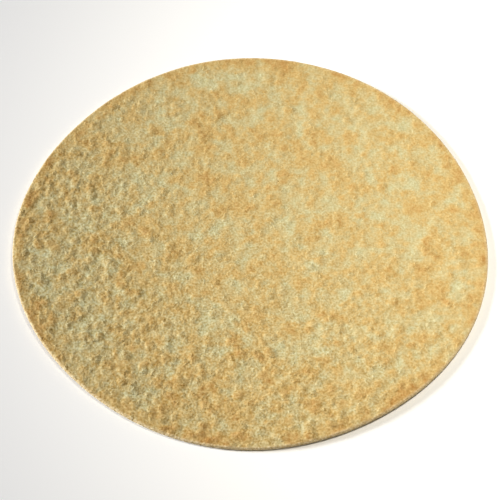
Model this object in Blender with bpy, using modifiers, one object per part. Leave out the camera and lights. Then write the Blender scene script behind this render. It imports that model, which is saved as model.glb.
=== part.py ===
"""Khakhra: one thin, crisp, round flatbread, rolled out, cut round and roasted on both faces, lying flat."""

import math
import random

import bpy
from mathutils import Vector, noise

# Driving sizes, in metres
DIAMETER = 0.180
DOUGH_THICKNESS = 0.0019
EDGE_ROUNDING = 0.0005
FLAT_SPOT_RADIUS = 0.010

# The cut outline isn't quite round: (waves round the rim, their height, direction of one crest in degrees)
RIM_WAVES = (
    (3, 0.00048, -41.0),
    (4, 0.00042, -2.0),
    (5, 0.00033, -27.0),
)

# Roasting lifts the rim a little at three places, and the troughs between them stay on the table
LIFT_HEIGHT = 0.0007
LIFT_CRESTS = 3
LIFT_DIRECTION = math.radians(75.0)

# Low blisters that steam raises in the dough, each face with its own
BLISTER_SEED = 11
BLISTERS_ON_TOP = 90
BLISTERS_BELOW = 60
BLISTER_RADII = (0.0045, 0.0085)
BLISTER_RISE = (0.00012, 0.00036)
BLISTER_CLEAR_OF_RIM = 0.003

# The dough's own unevenness between the blisters
SWELL_LENGTH = 0.030
SWELL_HEIGHT = 0.00010
SWELL_SLICE = 0.0
HOLLOW_LENGTH = 0.018
HOLLOW_DEPTH = 0.00030
HOLLOW_SLICE = 7.0

# How finely the solid is cut
STEPS_ROUND = 120
RINGS_ON_TOP = 22
RINGS_BELOW = 12
EDGE_STEPS = 2

DOUGH_COLOUR = (0.62, 0.43, 0.19, 1.0)
DOUGH_ROUGHNESS = 0.75


def clear_scene():
    """Starts from an empty scene."""
    for item in list(bpy.data.objects):
        bpy.data.objects.remove(item)


def roasted_dough():
    """The material: matt roasted wheat dough."""
    material = bpy.data.materials.new("roasted_dough")
    material.use_nodes = True
    shader = material.node_tree.nodes["Principled BSDF"]
    shader.inputs["Base Color"].default_value = DOUGH_COLOUR
    shader.inputs["Roughness"].default_value = DOUGH_ROUGHNESS
    shader.inputs["Metallic"].default_value = 0.0
    return material


def edge_arc(centre_x, centre_z, first_angle, last_angle):
    """The points of one rounded corner of the rim's section."""
    turn = (last_angle - first_angle) / EDGE_STEPS
    angles = [first_angle + turn * step for step in range(EDGE_STEPS + 1)]
    return [
        Vector((centre_x + EDGE_ROUNDING * math.cos(a), 0.0, centre_z + EDGE_ROUNDING * math.sin(a)))
        for a in angles
    ]


def disc_section():
    """The section that is turned: out along the top, down the rounded rim, and back along the underside."""
    flat_radius = DIAMETER / 2 - EDGE_ROUNDING
    top = [
        Vector((flat_radius * ring / RINGS_ON_TOP, 0.0, DOUGH_THICKNESS))
        for ring in range(RINGS_ON_TOP)
    ]
    top_corner = edge_arc(flat_radius, DOUGH_THICKNESS - EDGE_ROUNDING, math.pi / 2, 0.0)
    low_corner = edge_arc(flat_radius, EDGE_ROUNDING, 0.0, -math.pi / 2)
    ring_width = (flat_radius - FLAT_SPOT_RADIUS) / RINGS_BELOW
    below = [
        Vector((flat_radius - ring_width * ring, 0.0, 0.0))
        for ring in range(1, RINGS_BELOW + 1)
    ]
    return top + top_corner + low_corner + below + [Vector((0.0, 0.0, 0.0))]


def turned_disc(points):
    """A closed disc turned from its section, as a plain mesh."""
    section = bpy.data.meshes.new("section")
    section.from_pydata(points, [(i, i + 1) for i in range(len(points) - 1)], [])
    turned = bpy.data.objects.new("turned", section)
    bpy.context.scene.collection.objects.link(turned)
    screw = turned.modifiers.new("turn", "SCREW")
    screw.axis = "Z"
    screw.steps = STEPS_ROUND
    screw.render_steps = STEPS_ROUND
    screw.use_merge_vertices = True
    screw.merge_threshold = 0.00001
    depsgraph = bpy.context.evaluated_depsgraph_get()
    mesh = bpy.data.meshes.new_from_object(turned.evaluated_get(depsgraph))
    bpy.data.objects.remove(turned)
    return mesh


def ease(value):
    """Runs smoothly from 0 to 1 as the value does."""
    value = min(max(value, 0.0), 1.0)
    return value * value * (3.0 - 2.0 * value)


def scattered_blisters(dice, count):
    """Blisters as (centre, radius, rise), spread over one face and kept off the rim."""
    blisters = []
    for _ in range(count):
        radius = dice.uniform(*BLISTER_RADII)
        reach = DIAMETER / 2 - BLISTER_CLEAR_OF_RIM - radius
        distance = reach * math.sqrt(dice.random())
        angle = dice.uniform(0.0, 2.0 * math.pi)
        centre = Vector((distance * math.cos(angle), distance * math.sin(angle)))
        blisters.append((centre, radius, dice.uniform(*BLISTER_RISE)))
    return blisters


def uneven(place, length, noise_slice):
    """Smooth unevenness of this length over the face, from about -1 to 1."""
    return noise.noise(Vector((place.x / length, place.y / length, noise_slice)))


def blister_height(place, blisters):
    """The highest of the domes that cover this place."""
    height = 0.0
    for centre, radius, rise in blisters:
        share = (place - centre).length / radius
        if share < 1.0:
            height = max(height, rise * (1.0 - share * share) ** 2)
    return height


def rim_shift(angle):
    """How far the outline stands out of a true circle in this direction."""
    return sum(
        height * math.cos(waves * (angle - math.radians(crest)))
        for waves, height, crest in RIM_WAVES
    )


def rim_lift(place):
    """How far roasting has lifted the whole thickness off the table here."""
    share = max(place.length - FLAT_SPOT_RADIUS, 0.0) / (DIAMETER / 2 - FLAT_SPOT_RADIUS)
    wave = math.cos(LIFT_CRESTS * (math.atan2(place.y, place.x) - LIFT_DIRECTION))
    return LIFT_HEIGHT * share * share * (0.5 + 0.5 * wave)


def top_relief(place, blisters):
    """Height of the top face over the flat dough."""
    swell = SWELL_HEIGHT * uneven(place, SWELL_LENGTH, SWELL_SLICE)
    return swell + blister_height(place, blisters)


def underside_hollow(place, blisters):
    """Depth of the hollows between the high spots that the underside rests on."""
    spread = max(uneven(place, HOLLOW_LENGTH, HOLLOW_SLICE), 0.0)
    hollow = HOLLOW_DEPTH * spread + blister_height(place, blisters)
    return hollow * ease(place.length / FLAT_SPOT_RADIUS - 1.0)


def shape_dough(mesh):
    """Moves every point of the true disc to where the roasted dough has it."""
    dice = random.Random(BLISTER_SEED)
    top_blisters = scattered_blisters(dice, BLISTERS_ON_TOP)
    low_blisters = scattered_blisters(dice, BLISTERS_BELOW)
    rim_radius = DIAMETER / 2
    for vertex in mesh.vertices:
        place = Vector((vertex.co.x, vertex.co.y))
        upper_share = vertex.co.z / DOUGH_THICKNESS
        near_rim = ease((rim_radius - place.length) / (2.0 * EDGE_ROUNDING))
        height = upper_share * top_relief(place, top_blisters)
        height += (1.0 - upper_share) * near_rim * underside_hollow(place, low_blisters)
        height += rim_lift(place)
        if place.length > 0.0:
            shift = rim_shift(math.atan2(place.y, place.x)) * (place.length / rim_radius) ** 2
            place *= 1.0 + shift / place.length
        vertex.co = Vector((place.x, place.y, vertex.co.z + height))


def centre_on_base(mesh):
    """Puts the middle of the outline's box over the origin."""
    across = [vertex.co.x for vertex in mesh.vertices]
    along = [vertex.co.y for vertex in mesh.vertices]
    middle = Vector(((min(across) + max(across)) / 2, (min(along) + max(along)) / 2, 0.0))
    for vertex in mesh.vertices:
        vertex.co -= middle


def build_khakhra():
    """The whole flatbread, one solid."""
    mesh = turned_disc(disc_section())
    shape_dough(mesh)
    centre_on_base(mesh)
    mesh.name = "khakhra"
    mesh.materials.append(roasted_dough())
    mesh.shade_smooth()
    collection = bpy.data.collections.new("khakhra")
    bpy.context.scene.collection.children.link(collection)
    collection.objects.link(bpy.data.objects.new("khakhra", mesh))


clear_scene()
build_khakhra()
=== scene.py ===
"""A khakhra, thin crisp roasted flatbread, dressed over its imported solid."""

import math
import random

import bpy
from mathutils import Matrix, Vector


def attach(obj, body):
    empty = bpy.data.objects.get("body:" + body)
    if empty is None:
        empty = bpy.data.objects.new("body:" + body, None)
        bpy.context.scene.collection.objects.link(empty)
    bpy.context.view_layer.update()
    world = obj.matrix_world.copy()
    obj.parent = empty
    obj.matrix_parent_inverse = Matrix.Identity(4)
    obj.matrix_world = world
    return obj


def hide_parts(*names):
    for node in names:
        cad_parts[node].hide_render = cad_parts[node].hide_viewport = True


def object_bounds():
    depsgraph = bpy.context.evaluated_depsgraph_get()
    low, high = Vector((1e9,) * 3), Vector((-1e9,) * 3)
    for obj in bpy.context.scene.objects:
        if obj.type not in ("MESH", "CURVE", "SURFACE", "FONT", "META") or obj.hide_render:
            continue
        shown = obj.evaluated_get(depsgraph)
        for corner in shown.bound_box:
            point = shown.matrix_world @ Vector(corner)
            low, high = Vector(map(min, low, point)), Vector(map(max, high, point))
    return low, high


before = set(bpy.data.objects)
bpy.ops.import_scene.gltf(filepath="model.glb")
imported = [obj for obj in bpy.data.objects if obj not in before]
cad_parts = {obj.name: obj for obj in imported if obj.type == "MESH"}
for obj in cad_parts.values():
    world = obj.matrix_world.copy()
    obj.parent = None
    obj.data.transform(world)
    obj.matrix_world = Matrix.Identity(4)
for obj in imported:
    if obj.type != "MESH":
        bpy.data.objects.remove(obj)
cad_low, cad_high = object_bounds()

# The roasted disc
# Wheat dough rolled two millimetres thin, cut with a round cutter, then pressed and turned on a hot griddle
# until it is dry and crisp. Steam lifts blisters and short creases out of both faces, and what stands highest
# browns first.
MM = 0.001
RIM_RADIUS = 90 * MM
DOUGH_THICKNESS = 1.9 * MM
EDGE_ROUNDING = 0.5 * MM
FLAT_SPOT_RADIUS = 10 * MM


class Flow:
    """A number that flows through a node tree. Arithmetic on it adds Math nodes, so a rule reads like its
    formula."""

    def __init__(self, socket):
        self.socket = socket
        self.tree = socket.id_data

    def math(self, operation, *others):
        node = self.tree.nodes.new("ShaderNodeMath")
        node.operation = operation
        for place, value in enumerate((self, *others)):
            put(node.inputs[place], value)
        return Flow(node.outputs[0])

    def __add__(self, other):
        return self.math("ADD", other)

    def __sub__(self, other):
        return self.math("SUBTRACT", other)

    def __mul__(self, other):
        return self.math("MULTIPLY", other)

    def __truediv__(self, other):
        return self.math("DIVIDE", other)

    def over_one(self):
        """One less this."""
        return self.math("MULTIPLY_ADD", -1.0, 1.0)

    def eased(self, start, end):
        """Runs smoothly from 0 at start to 1 at end."""
        node = add(self.tree, "ShaderNodeMapRange", {"Value": self, "From Min": start, "From Max": end},
                   interpolation_type="SMOOTHSTEP")
        return Flow(node.outputs["Result"])


def put(socket, value):
    """Links a value into a socket, or sets it there."""
    value = value.socket if isinstance(value, Flow) else value
    if isinstance(value, bpy.types.NodeSocket):
        socket.id_data.links.new(value, socket)
    else:
        socket.default_value = value


def add(tree, kind, inputs=(), **options):
    """Adds a node with these options, its inputs given by name or place."""
    node = tree.nodes.new(kind)
    for name, value in options.items():
        setattr(node, name, value)
    for key, value in dict(inputs).items():
        put(node.inputs[key], value)
    return node


def vector_of(tree, x, y, z):
    """A vector from its parts."""
    return add(tree, "ShaderNodeCombineXYZ", {"X": x, "Y": y, "Z": z}).outputs["Vector"]


def parts_of(tree, vector):
    """The x, y and z of a vector."""
    split = add(tree, "ShaderNodeSeparateXYZ", {0: vector})
    return [Flow(split.outputs[axis]) for axis in "XYZ"]


def vector_math(tree, operation, *vectors):
    """The vector that this operation makes of these."""
    return add(tree, "ShaderNodeVectorMath", dict(enumerate(vectors)), operation=operation).outputs[0]


def place_of(tree):
    """The point's own x, y and z."""
    return parts_of(tree, add(tree, "GeometryNodeInputPosition").outputs[0])


def round_place_of(tree):
    """The point's own angle round the middle, distance from it and height."""
    x, y, z = place_of(tree)
    return y.math("ARCTAN2", x), (x * x + y * y).math("SQRT"), z


def place_round(tree, angle, distance, height):
    """The place with this angle round the middle, distance from it and height."""
    return vector_of(tree, angle.math("COSINE") * distance, angle.math("SINE") * distance, height)


def noise_of(tree, vector, size, detail=2.0, roughness=0.5, slice_at=0.0, distortion=0.0):
    """Smooth noise from 0 to 1 with lumps of this size; another slice is another pattern."""
    moved = vector_math(tree, "ADD", vector, (0.0, 0.0, slice_at * size))
    node = add(tree, "ShaderNodeTexNoise", {
        "Vector": moved, "Scale": 1.0 / size, "Detail": detail, "Roughness": roughness,
        "Distortion": distortion})
    return Flow(node.outputs["Fac"])


# The skin of the rolled disc, before anything rises out of it. Its points lie closest at the lower left,
# where the relief will be strongest.
FAN_SIDES = 6
TOP_LEVEL = 7
TOP_HUB = (-30 * MM, -16 * MM)
UNDERSIDE_LEVEL = 6
MERGE_DISTANCE = 0.001 * MM


def fan_disc(tree, level, radius, height, hub=(0.0, 0.0)):
    """A flat round sheet: a fan with straight sides, split fine and drawn out to a circle. It is finer where
    the hub, the point that the fan turns on, lies nearer to the rim."""
    fan = add(tree, "GeometryNodeMeshCircle", {"Vertices": FAN_SIDES, "Radius": 1.0},
              fill_type="TRIANGLE_FAN")
    fine = add(tree, "GeometryNodeSubdivideMesh", {"Mesh": fan.outputs["Mesh"], "Level": level})
    angle, distance, _ = round_place_of(tree)
    half_side = math.pi / FAN_SIDES
    from_middle_of_side = (angle - half_side).math("WRAP", half_side, -half_side)
    distance = distance * from_middle_of_side.math("COSINE") / math.cos(half_side) * radius
    inward = (distance / radius).over_one()
    x = angle.math("COSINE") * distance + inward * hub[0]
    y = angle.math("SINE") * distance + inward * hub[1]
    moved = add(tree, "GeometryNodeSetPosition", {
        "Geometry": fine.outputs["Mesh"], "Position": vector_of(tree, x, y, height)})
    return moved.outputs["Geometry"]


def rim_section():
    """The rim from the top face's edge down to the underside's, as (distance out, height)."""
    flat_radius = RIM_RADIUS - EDGE_ROUNDING
    slant = EDGE_ROUNDING * math.sqrt(0.5)
    return (
        (flat_radius + slant, DOUGH_THICKNESS - EDGE_ROUNDING + slant),
        (RIM_RADIUS, DOUGH_THICKNESS - EDGE_ROUNDING),
        (RIM_RADIUS, EDGE_ROUNDING),
        (flat_radius + slant, EDGE_ROUNDING - slant),
    )


def closed_disc(tree):
    """The skin of the true disc: a fine top, a rim drawn down from its edge, and a coarser underside."""
    flat_radius = RIM_RADIUS - EDGE_ROUNDING
    underside = fan_disc(tree, UNDERSIDE_LEVEL, flat_radius, 0.0)
    skin = fan_disc(tree, TOP_LEVEL, flat_radius, DOUGH_THICKNESS, TOP_HUB)
    faces_beside = add(tree, "GeometryNodeInputMeshEdgeNeighbors").outputs["Face Count"]
    open_edge = add(tree, "FunctionNodeCompare", {2: faces_beside, 3: 1}, data_type="INT", operation="EQUAL")
    row = open_edge.outputs["Result"]
    angle, _, _ = round_place_of(tree)
    places = [place_round(tree, angle, distance, height) for distance, height in rim_section()]
    nearest = add(tree, "GeometryNodeProximity", {"Geometry": underside}, target_element="POINTS")
    for place in (*places, nearest.outputs["Position"]):
        drawn = add(tree, "GeometryNodeExtrudeMesh", {"Mesh": skin, "Selection": row, "Offset Scale": 0.0},
                    mode="EDGES")
        row = drawn.outputs["Top"]
        moved = add(tree, "GeometryNodeSetPosition", {
            "Geometry": drawn.outputs["Mesh"], "Selection": row, "Position": place})
        skin = moved.outputs["Geometry"]
    turned_over = add(tree, "GeometryNodeFlipFaces", {"Mesh": underside})
    joined = add(tree, "GeometryNodeJoinGeometry")
    for part in (skin, turned_over.outputs["Mesh"]):
        tree.links.new(part, joined.inputs[0])
    merged = add(tree, "GeometryNodeMergeByDistance", {
        "Geometry": joined.outputs[0], "Distance": MERGE_DISTANCE})
    return merged.outputs["Geometry"]


# Large blisters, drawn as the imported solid's are
BLISTER_SEED = 11
BLISTERS_ON_TOP = 90
BLISTERS_BELOW = 60
BLISTER_RADII = (4.5 * MM, 8.5 * MM)
BLISTER_RISE = (0.12 * MM, 0.36 * MM)
BLISTER_CLEAR_OF_RIM = 3 * MM


def scattered_blisters(dice, count):
    """Large blisters as stamp places, kept off the rim."""
    blisters = []
    for _ in range(count):
        radius = dice.uniform(*BLISTER_RADII)
        reach = RIM_RADIUS - BLISTER_CLEAR_OF_RIM - radius
        distance = reach * math.sqrt(dice.random())
        angle = dice.uniform(0.0, 2.0 * math.pi)
        rise = dice.uniform(*BLISTER_RISE)
        blisters.append((distance * math.cos(angle), distance * math.sin(angle), radius, radius, rise, 0.0))
    return blisters


def stamp_places(name, places):
    """An object of loose points that carries (x, y, width, length, rise, turn) of each stamp to the tree."""
    mesh = bpy.data.meshes.new(name)
    mesh.from_pydata([(x, y, 0.0) for x, y, *_ in places], [], [])
    for column, key in enumerate(("width", "length", "rise", "turn"), start=2):
        layer = mesh.attributes.new(key, "FLOAT", "POINT")
        layer.data.foreach_set("value", [place[column] for place in places])
    return bpy.data.objects.new(name, mesh)


# Blisters and creases are stamped: each is a small dome, and the dough rises to the highest dome over it. The
# steep sides of those that lie by chance face about this way, as angles from +X.
STAMP_SIDES = 12
STAMP_LEVEL = 2
FIELD_LEVEL = 3
FIELD_CLEAR_OF_RIM = 2 * MM
STEEP_SIDES_FACE = (0.6 * math.pi, 1.4 * math.pi)
LOWEST_RISE = 0.3
ABOVE_ALL = 20 * MM
WANDER_SIZE = 3.0 * MM


def blister_stamp(tree, flatness, softness, lean=0.0):
    """A blister of radius 1 and height 1. More flatness gives it a wider top, more softness a foot without an
    edge. A blister that leans slopes away from a steep side, which faces +X."""
    fan = add(tree, "GeometryNodeMeshCircle", {"Vertices": STAMP_SIDES, "Radius": 1.0},
              fill_type="TRIANGLE_FAN")
    fine = add(tree, "GeometryNodeSubdivideMesh", {"Mesh": fan.outputs["Mesh"], "Level": STAMP_LEVEL})
    x, y, _ = place_of(tree)
    fall = (x * x + y * y).math("SQRT").math("POWER", flatness)
    dome = fall.over_one().math("MAXIMUM", 0.0).math("POWER", softness)
    height = dome * (x * (0.5 * lean) + (1.0 - 0.5 * lean))
    moved = add(tree, "GeometryNodeSetPosition", {
        "Geometry": fine.outputs["Mesh"], "Position": vector_of(tree, x, y, height)})
    return moved.outputs["Geometry"]


def stamped(tree, points, stamp, turn, size):
    """A stamp at each point, as one mesh."""
    put_down = add(tree, "GeometryNodeInstanceOnPoints", {
        "Points": points, "Instance": stamp, "Rotation": vector_of(tree, 0.0, 0.0, turn), "Scale": size})
    return add(tree, "GeometryNodeRealizeInstances", {0: put_down.outputs["Instances"]}).outputs[0]


def placed_stamps(tree, stamp, places):
    """A stamp at each point of an object, at the point's own size, rise and turn."""
    points = add(tree, "GeometryNodeObjectInfo", {"Object": places}).outputs["Geometry"]
    width, length, rise, turn = [
        add(tree, "GeometryNodeInputNamedAttribute", {"Name": key}, data_type="FLOAT").outputs[0]
        for key in ("width", "length", "rise", "turn")
    ]
    return stamped(tree, points, stamp, turn, vector_of(tree, width, length, rise))


def random_of(tree, low, high, seed):
    """A number between these two, by chance for each point."""
    node = add(tree, "FunctionNodeRandomValue", {2: low, 3: high, "Seed": seed}, data_type="FLOAT")
    return Flow(node.outputs[1])


def strewn_stamps(tree, stamp, spacing, radii, slenderness, height, seed):
    """Stamps strewn over the whole face at this spacing, sized and turned by chance. The largest reach this
    height."""
    field = fan_disc(tree, FIELD_LEVEL, RIM_RADIUS - FIELD_CLEAR_OF_RIM, 0.0)
    points = add(tree, "GeometryNodeDistributePointsOnFaces", {
        "Mesh": field, "Distance Min": spacing, "Density Max": 1.0 / spacing**2, "Seed": seed},
        distribute_method="POISSON")
    radius = random_of(tree, *radii, seed + 1)
    length = radius * random_of(tree, *slenderness, seed + 2)
    rise = random_of(tree, LOWEST_RISE, 1.0, seed + 3) * radius / radii[1] * height
    turn = random_of(tree, *STEEP_SIDES_FACE, seed + 4)
    return stamped(tree, points.outputs["Points"], stamp, turn, vector_of(tree, radius, length, rise))


def raised_by(tree, stamps, wander):
    """Height of the highest stamp over each point of the dough. Wander bends the stamps' outlines."""
    x, y, _ = place_of(tree)
    flat = vector_of(tree, x, y, 0.0)
    drift_x, drift_y = [
        (noise_of(tree, flat, WANDER_SIZE, slice_at=pattern) - 0.5) * wander for pattern in (3.0, 9.0)
    ]
    look = add(tree, "GeometryNodeRaycast", {
        "Target Geometry": stamps, "Source Position": vector_of(tree, x + drift_x, y + drift_y, ABOVE_ALL),
        "Ray Direction": (0.0, 0.0, -1.0), "Ray Length": 1.0})
    _, _, hit = parts_of(tree, look.outputs["Hit Position"])
    return hit.math("MAXIMUM", 0.0) * look.outputs["Is Hit"]


# The fine relief of a roasted face: blisters and creases on top of patches that rose and browned together,
# with clusters and granules of coarse flour on them
INPUTS = {
    "Patch Height": 0.14 * MM,
    "Cluster Height": 0.14 * MM,
    "Blister Height": 0.90 * MM,
    "Crease Height": 0.42 * MM,
    "Granule Height": 0.14 * MM,
}
OBJECT_INPUTS = ("Top Blisters", "Underside Blisters", "Photographed Creases")
SMALL_BLISTERS = {"spacing": 2.7 * MM, "radii": (1.1 * MM, 2.5 * MM), "slenderness": (0.7, 1.3)}
STREWN_CREASES = {"spacing": 7.0 * MM, "radii": (1.0 * MM, 2.2 * MM), "slenderness": (1.2, 2.4)}

# How far the outlines of blisters and creases wander
LARGE_BLISTER_WANDER = 0.8 * MM
SMALL_BLISTER_WANDER = 1.6 * MM
STREWN_CREASE_WANDER = 1.4 * MM
PLACED_CREASE_WANDER = 0.9 * MM

# The patches, of which there are fewer at the left, and the flour on them
LEFT_SIDE = (-25 * MM, -70 * MM)
PATCH_SIZE = 10.5 * MM
PATCH_EDGE = (0.42, 0.54)
MORE_PATCHES = 0.01
FEWER_AT_LEFT = 0.06
CLUSTER_SIZE = 3.2 * MM
CLUSTER_EDGE = (0.49, 0.61)
GRANULE_SIZE = 1.1 * MM
GRANULE_EDGE = (0.3, 0.7)

# The relief grows from its weakest at the upper right to its full height at the lower left
TO_UPPER_RIGHT = (0.75, 0.65)
WEAKEST = 0.5
WEAKEST_FROM = 60 * MM
FULL_FROM = -60 * MM

# How much of the browning each of these brings
PATCH_TOAST = 0.5
PATCH_TOAST_LOST_AT_LEFT = 0.15
LEFT_TOAST = 0.09
CLUSTER_TOAST = 0.2
BLISTER_TOAST = 0.6


def face_relief(tree, given, large_blisters, seed):
    """Height of one roasted face over the rolled dough, how brown it is, and how strong its relief is."""
    x, y, _ = place_of(tree)
    flat = vector_of(tree, x, y, 0.0)
    round_stamp = blister_stamp(tree, flatness=2.0, softness=2.0)
    large = raised_by(tree, placed_stamps(tree, round_stamp, given[large_blisters]), LARGE_BLISTER_WANDER)
    small_stamp = blister_stamp(tree, flatness=5.0, softness=1.3, lean=0.7)
    strewn = strewn_stamps(tree, small_stamp, **SMALL_BLISTERS, height=given["Blister Height"], seed=seed)
    small = raised_by(tree, strewn, SMALL_BLISTER_WANDER)
    crease_stamp = blister_stamp(tree, flatness=4.0, softness=1.4, lean=1.0)
    strewn = strewn_stamps(
        tree, crease_stamp, **STREWN_CREASES, height=given["Crease Height"], seed=seed + 20)
    creases = raised_by(tree, strewn, STREWN_CREASE_WANDER)

    left = x.eased(*LEFT_SIDE)
    lump = noise_of(tree, flat, PATCH_SIZE, detail=3.0, slice_at=seed, distortion=0.2)
    patches = (lump - (left * FEWER_AT_LEFT - MORE_PATCHES)).eased(*PATCH_EDGE)
    on_patch = patches * 0.5 + 0.5
    clusters = noise_of(tree, flat, CLUSTER_SIZE, slice_at=seed + 2.0).eased(*CLUSTER_EDGE) * on_patch
    granules = (noise_of(tree, flat, GRANULE_SIZE, slice_at=seed + 5.0).eased(*GRANULE_EDGE) - 0.5) * on_patch

    along = x * TO_UPPER_RIGHT[0] + y * TO_UPPER_RIGHT[1]
    strength = along.eased(WEAKEST_FROM, FULL_FROM) * (1.0 - WEAKEST) + WEAKEST
    fine = small + creases + patches * given["Patch Height"] + clusters * given["Cluster Height"]
    height = large + strength * fine + granules * given["Granule Height"]
    toast = patches * (left * -PATCH_TOAST_LOST_AT_LEFT + PATCH_TOAST) + left * LEFT_TOAST
    toast = toast + clusters * CLUSTER_TOAST + small / given["Blister Height"] * BLISTER_TOAST
    return height, toast, strength


# What the cutter and the griddle did to the disc as a whole: an outline that isn't quite round, as (waves
# round the rim, their height, direction of one crest in degrees), and a rim that lifts off the table at three
# places. The relief stays clear of the rim below, and its mean is taken off so that the dough keeps its
# thickness.
RIM_WAVES = (
    (3, 0.48 * MM, -41.0),
    (4, 0.42 * MM, -2.0),
    (5, 0.33 * MM, -27.0),
)
LIFT_HEIGHT = 0.7 * MM
LIFT_CRESTS = 3
LIFT_DIRECTION = 75.0
RELIEF_CLEAR_OF_RIM = 1.2 * MM
MEAN_RELIEF = 0.28 * MM
CUT_EDGE_BAND = (0.8 * MM, 0.2 * MM)
BROWN_RIM_BAND = (7 * MM, 1 * MM)


def band(distance, edges):
    """Runs from 0 to 1 between two distances in from the rim."""
    return distance.eased(*(RIM_RADIUS - edge for edge in edges))


def rim_shift(angle):
    """How far the cut outline stands out of a true circle in this direction."""
    first, *others = [
        ((angle - math.radians(crest)) * waves).math("COSINE") * height for waves, height, crest in RIM_WAVES
    ]
    return sum(others, first)


def rim_lift(angle, distance):
    """How far roasting has lifted the whole thickness off the table here."""
    share_out = (distance - FLAT_SPOT_RADIUS).math("MAXIMUM", 0.0) / (RIM_RADIUS - FLAT_SPOT_RADIUS)
    wave = ((angle - math.radians(LIFT_DIRECTION)) * LIFT_CRESTS).math("COSINE") * 0.5 + 0.5
    return share_out * share_out * wave * LIFT_HEIGHT


def dough_tree():
    """The whole flatbread as a Geometry Nodes tree."""
    tree = bpy.data.node_groups.new("khakhra dough", "GeometryNodeTree")
    tree.interface.new_socket("Geometry", in_out="INPUT", socket_type="NodeSocketGeometry")
    tree.interface.new_socket("Geometry", in_out="OUTPUT", socket_type="NodeSocketGeometry")
    for name in (*INPUTS, "Highest Point"):
        tree.interface.new_socket(name, in_out="INPUT", socket_type="NodeSocketFloat")
    for name in OBJECT_INPUTS:
        tree.interface.new_socket(name, in_out="INPUT", socket_type="NodeSocketObject")
    tree.interface.new_socket("Dough", in_out="INPUT", socket_type="NodeSocketMaterial")
    group_input = tree.nodes.new("NodeGroupInput")
    given = {socket.name: Flow(socket) for socket in group_input.outputs if socket.name}

    skin = closed_disc(tree)
    angle, distance, z = round_place_of(tree)
    upper_share = z / DOUGH_THICKNESS
    top_height, top_toast, strength = face_relief(tree, given, "Top Blisters", seed=1)
    low_height, low_toast, _ = face_relief(tree, given, "Underside Blisters", seed=101)
    crease_stamp = blister_stamp(tree, flatness=4.0, softness=1.0, lean=1.0)
    placed_creases = placed_stamps(tree, crease_stamp, given["Photographed Creases"])
    top_height = top_height + raised_by(tree, placed_creases, PLACED_CREASE_WANDER) - MEAN_RELIEF
    off_rim = distance.eased(RIM_RADIUS, RIM_RADIUS - RELIEF_CLEAR_OF_RIM)
    off_flat_spot = distance.eased(FLAT_SPOT_RADIUS, 2.0 * FLAT_SPOT_RADIUS)
    hollow = (low_height * off_rim * off_flat_spot).math("MAXIMUM", 0.0)
    raised = z + upper_share * top_height + upper_share.over_one() * hollow + rim_lift(angle, distance)
    raised = raised.math("MAXIMUM", 0.0).math("MINIMUM", given["Highest Point"])
    share_out = distance / RIM_RADIUS
    place = place_round(tree, angle, distance + rim_shift(angle) * share_out * share_out, raised)

    kept_for_the_material = {
        "toast": upper_share * top_toast + upper_share.over_one() * low_toast,
        "rough": strength,
        "cut_edge": band(distance, CUT_EDGE_BAND),
        "rim_band": band(distance, BROWN_RIM_BAND),
    }
    for name, value in kept_for_the_material.items():
        stored = add(
            tree, "GeometryNodeStoreNamedAttribute", {"Geometry": skin, "Name": name, "Value": value},
            data_type="FLOAT", domain="POINT")
        skin = stored.outputs["Geometry"]
    shaped = add(tree, "GeometryNodeSetPosition", {"Geometry": skin, "Position": place})
    smooth = add(tree, "GeometryNodeSetShadeSmooth", {"Geometry": shaped.outputs["Geometry"]})
    real = add(tree, "GeometryNodeRealizeInstances", {"Geometry": smooth.outputs["Geometry"]})
    coloured = add(tree, "GeometryNodeSetMaterial", {
        "Geometry": real.outputs["Geometry"], "Material": given["Dough"]})
    group_output = tree.nodes.new("NodeGroupOutput")
    tree.links.new(coloured.outputs["Geometry"], group_output.inputs["Geometry"])
    return tree


# Matt roasted dough: pale where it lay low, golden where it stood high, toasted brown in specks, with the
# cream of the crumb on the cut edge. Dry flakes and a fine flour grain cover it.
PALE = (0.500, 0.466, 0.265, 1.0)
GOLDEN = (0.523, 0.371, 0.146, 1.0)
TOASTED = (0.422, 0.230, 0.068, 1.0)
GOLDEN_AT = 0.55
CREAM = (0.680, 0.540, 0.310, 1.0)
CREAM_COVER = 0.9
BROWN_EVERYWHERE = 0.16
BROWN_ON_TOAST = 0.5
BROWN_AT_RIM = 0.25
BROAD_SIZE = 28 * MM
BROWN_IN_BROAD_AREAS = 0.55
BLOTCH_SIZE = 4 * MM
BROWN_IN_BLOTCHES = 1.1
SPECKLE_SIZE = 0.8 * MM
SPECKLE_EVERYWHERE = 0.1
SPECKLE_ON_TOAST = 0.7
GRAIN_SIZE = 0.85 * MM
GRAIN_IN_COLOUR = (1.1, 1.5, 2.4)
GRAIN_IN_BUMP = 0.85
FLAKE_SIZE = 3.6 * MM
FLAKE_WOBBLE = 2.0 * MM
FLAKE_EDGE = (0.50, 0.36)
FLAKE_LEAN = (1.6 * MM, -1.6 * MM)
FLAKES_IN_BUMP = 1.6
BUMP_HEIGHT = 0.30 * MM


def by_identifier(sockets):
    """The sockets of a node that has several of one name."""
    return {socket.identifier: socket for socket in sockets}


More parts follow.
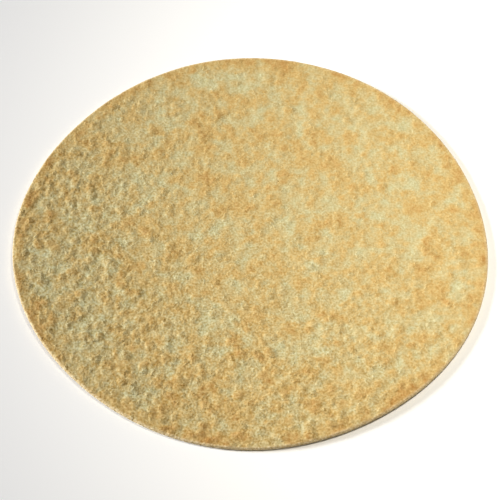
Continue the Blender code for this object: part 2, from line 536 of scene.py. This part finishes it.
def dough_colour(tree, here, toast, cut_edge, rim_band):
    """The tone of the dough, before its grain."""
    broad = noise_of(tree, here, BROAD_SIZE, slice_at=4.0) - 0.5
    blotches = noise_of(tree, here, BLOTCH_SIZE, detail=3.0, slice_at=8.0) - 0.5
    speckle = noise_of(tree, here, SPECKLE_SIZE, roughness=0.6, slice_at=2.0) - 0.5
    browned = toast * BROWN_ON_TOAST + blotches * BROWN_IN_BLOTCHES + broad * BROWN_IN_BROAD_AREAS
    browned = browned + speckle * (toast * SPECKLE_ON_TOAST + SPECKLE_EVERYWHERE)
    browned = browned + BROWN_EVERYWHERE + rim_band * BROWN_AT_RIM
    tones = add(tree, "ShaderNodeValToRGB", {"Fac": browned})
    tones.color_ramp.elements.new(GOLDEN_AT)
    for step, tone in zip(tones.color_ramp.elements, (PALE, GOLDEN, TOASTED)):
        step.color = tone
    mix = add(tree, "ShaderNodeMix", {"Factor": cut_edge * CREAM_COVER}, data_type="RGBA")
    put(by_identifier(mix.inputs)["A_Color"], tones.outputs["Color"])
    put(by_identifier(mix.inputs)["B_Color"], CREAM)
    return by_identifier(mix.outputs)["Result_Color"]


def lifted_flakes(tree, here):
    """Thin flakes of skin, each with a raised left edge, some higher than others."""
    wobble = add(tree, "ShaderNodeTexNoise", {"Vector": here, "Scale": 1.0 / FLAKE_WOBBLE, "Detail": 1.0})
    bent = vector_math(tree, "MULTIPLY_ADD", wobble.outputs["Color"], (FLAKE_WOBBLE,) * 3, here)
    cells = add(tree, "ShaderNodeTexVoronoi", {"Vector": bent, "Scale": 1.0 / FLAKE_SIZE})
    chance, _, _ = parts_of(tree, cells.outputs["Color"])
    across, _, _ = parts_of(tree, vector_math(tree, "SUBTRACT", bent, cells.outputs["Position"]))
    return Flow(cells.outputs["Distance"]).eased(*FLAKE_EDGE) * chance * across.eased(*FLAKE_LEAN)


def dough_material():
    """The material of the whole flatbread."""
    material = bpy.data.materials.new("roasted_dough")
    material.use_nodes = True
    tree = material.node_tree
    shader = tree.nodes["Principled BSDF"]
    shader.inputs["Roughness"].default_value = 0.8
    shader.inputs["Specular IOR Level"].default_value = 0.1
    here = add(tree, "ShaderNodeTexCoord").outputs["Object"]
    toast, rough, cut_edge, rim_band = [
        Flow(add(tree, "ShaderNodeAttribute", attribute_name=name).outputs["Fac"])
        for name in ("toast", "rough", "cut_edge", "rim_band")
    ]
    grain = noise_of(tree, here, GRAIN_SIZE, detail=1.0, slice_at=5.0)
    light_and_dark = (grain - 0.5) * rough
    tint = vector_of(tree, *(light_and_dark * share + 1.0 for share in GRAIN_IN_COLOUR))
    colour = dough_colour(tree, here, toast, cut_edge, rim_band)
    put(shader.inputs["Base Color"], vector_math(tree, "MULTIPLY", colour, tint))
    height = (grain * GRAIN_IN_BUMP + lifted_flakes(tree, here) * FLAKES_IN_BUMP) * rough
    bump = add(tree, "ShaderNodeBump", {"Strength": 1.0, "Distance": BUMP_HEIGHT, "Height": height})
    put(shader.inputs["Normal"], bump.outputs["Normal"])
    return material


# The clearest creases of the photograph: x and y of the steep side, half width, half length and rise in
# millimetres, and the way that the steep side faces, in degrees
CREASES = (
    (-46.2, 64.5, 1.8, 5.0, 0.44, 180),
    (-60.5, 31.2, 1.8, 4.2, 0.44, 140),
    (-54.6, -14.4, 2.8, 5.6, 0.80, 180),
    (-47.5, -19.6, 1.8, 2.6, 0.64, 178),
    (-63.8, -11.8, 2.2, 3.0, 0.64, 165),
    (-79.2, -18.4, 1.8, 2.6, 0.40, 195),
    (-73.9, -35.3, 1.4, 3.0, 0.42, 175),
    (-66.3, -43.1, 1.5, 2.6, 0.44, 165),
    (-47.9, -43.7, 2.0, 2.4, 0.42, 185),
    (-53.5, -27.1, 1.6, 2.6, 0.40, 200),
    (-33.4, -25.9, 1.4, 2.0, 0.36, 200),
    (-31.8, -49.6, 2.2, 2.4, 0.70, 200),
    (-47.5, -51.9, 1.6, 2.0, 0.40, 160),
    (-44.3, -65.9, 2.4, 3.0, 0.36, 180),
    (-54.7, -59.7, 2.0, 3.8, 0.60, 195),
    (-13.2, -79.1, 1.4, 5.4, 0.44, 178),
    (1.4, -76.5, 1.4, 2.4, 0.32, 170),
    (31.5, -78.0, 1.4, 4.8, 0.34, 175),
)
STEEP_SIDE_AT = 0.8


def crease_places():
    """The creases as stamp places. A stamp's middle lies behind its steep side."""
    places = []
    for x, y, width, length, rise, facing in CREASES:
        turn = math.radians(facing)
        behind = STEEP_SIDE_AT * width
        sizes = (x - behind * math.cos(turn), y - behind * math.sin(turn), width, length, rise)
        places.append((*(size * MM for size in sizes), turn))
    return places


dice = random.Random(BLISTER_SEED)
scaffolds = [
    stamp_places("top_blisters", scattered_blisters(dice, BLISTERS_ON_TOP)),
    stamp_places("underside_blisters", scattered_blisters(dice, BLISTERS_BELOW)),
    stamp_places("photographed_creases", crease_places()),
]
base = bpy.data.objects.new("dough_base", bpy.data.meshes.new("dough_base"))
bpy.context.scene.collection.objects.link(base)
modifier = base.modifiers.new("dough", "NODES")
modifier.node_group = dough_tree()
interface = modifier.node_group.interface.items_tree
identifiers = {item.name: item.identifier for item in interface if item.in_out == "INPUT"}
for name, value in (*INPUTS.items(), *zip(OBJECT_INPUTS, scaffolds)):
    modifier[identifiers[name]] = value
modifier[identifiers["Highest Point"]] = cad_high[2]
modifier[identifiers["Dough"]] = dough_material()
depsgraph = bpy.context.evaluated_depsgraph_get()
dough = bpy.data.meshes.new_from_object(base.evaluated_get(depsgraph))
for scaffold in (base, *scaffolds):
    bpy.data.objects.remove(scaffold)


def centred_to_fit(mesh):
    """Moves a mesh over the origin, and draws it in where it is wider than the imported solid."""
    points = [vertex.co for vertex in mesh.vertices]
    low, high = [Vector(pick(point[axis] for point in points) for axis in range(3)) for pick in (min, max)]
    middle = (low + high) / 2
    fit = [min((cad_high[axis] - cad_low[axis]) / (high[axis] - low[axis]), 1.0) for axis in (0, 1)]
    mesh.transform(Matrix.Diagonal((*fit, 1.0, 1.0)) @ Matrix.Translation((-middle.x, -middle.y, 0.0)))


centred_to_fit(dough)
khakhra = bpy.data.objects.new("khakhra_dough", dough)
bpy.context.scene.collection.objects.link(khakhra)
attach(khakhra, "root")
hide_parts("khakhra")

# The table
# A plain table top with pale matt paint. The flatbread lies loose on it, and it reaches well past the picture
# on every side.
TABLE_REACH = 3.0
table_mesh = bpy.data.meshes.new("table")
corners = [(x * TABLE_REACH, y * TABLE_REACH, 0.0) for x, y in ((-1, -1), (1, -1), (1, 1), (-1, 1))]
table_mesh.from_pydata(corners, [], [(0, 1, 2, 3)])
table = bpy.data.objects.new("table", table_mesh)
bpy.context.scene.collection.objects.link(table)
table_paint = bpy.data.materials.new("table_paint")
table_paint.use_nodes = True
table_shader = table_paint.node_tree.nodes["Principled BSDF"]
table_shader.inputs["Base Color"].default_value = (0.93, 0.95, 0.98, 1.0)
table_shader.inputs["Roughness"].default_value = 0.8
table_mesh.materials.append(table_paint)


# The lights
# A low white light from the left picks out the relief, a warm one hangs over the right side, which is the
# brighter in the photograph, and a faint warm glow from all round fills the shade.
def hang(lamp, place):
    """Puts a lamp at its place, pointing straight down and unseen by the camera."""
    holder = bpy.data.objects.new(lamp.name, lamp)
    holder.location = place
    holder.visible_camera = False
    bpy.context.scene.collection.objects.link(holder)
    return holder


KEY_PLACE = Vector((-3.05, 0.4, 1.25))
key = bpy.data.lights.new("key", "AREA")
key.size = 1.0
key.energy = 156.0
key.color = (1.0, 1.0, 1.01)
hang(key, KEY_PLACE).rotation_euler = (-KEY_PLACE).to_track_quat("-Z", "Y").to_euler()

overhead = bpy.data.lights.new("overhead", "SPOT")
overhead.energy = 9.85
overhead.color = (1.0, 0.93, 0.80)
overhead.spot_size = math.radians(70)
overhead.spot_blend = 1.0
overhead.shadow_soft_size = 0.06
hang(overhead, (0.165, 0.02, 0.5))

world = bpy.data.worlds.new("studio")
world.use_nodes = True
background = world.node_tree.nodes["Background"]
background.inputs["Color"].default_value = (1.0, 0.88, 0.68, 1.0)
background.inputs["Strength"].default_value = 0.13
bpy.context.scene.world = world
bpy.context.scene.view_settings.view_transform = "Standard"

# The camera
# A long lens in front of the flatbread that looks steeply down on it. Its height, distance and turn come from
# the ellipse that the rim makes in the photograph.
CAMERA_RISE = math.radians(55.34)
CAMERA_ROLL = math.radians(0.6)
CAMERA_DISTANCE = 0.7105
AIM = Vector((-0.1 * MM, -5.24 * MM, 2.2 * MM))
back = Vector((0.0, -math.cos(CAMERA_RISE), math.sin(CAMERA_RISE)))
facing = (-back).to_track_quat("-Z", "Y").to_matrix().to_4x4() @ Matrix.Rotation(CAMERA_ROLL, 4, "Z")
lens = bpy.data.cameras.new("camera")
lens.lens = 134.6
lens.sensor_width = 36.0
lens.clip_start = 0.01
camera = bpy.data.objects.new("camera", lens)
camera.matrix_world = Matrix.Translation(AIM + back * CAMERA_DISTANCE) @ facing
bpy.context.scene.collection.objects.link(camera)
bpy.context.scene.camera = camera
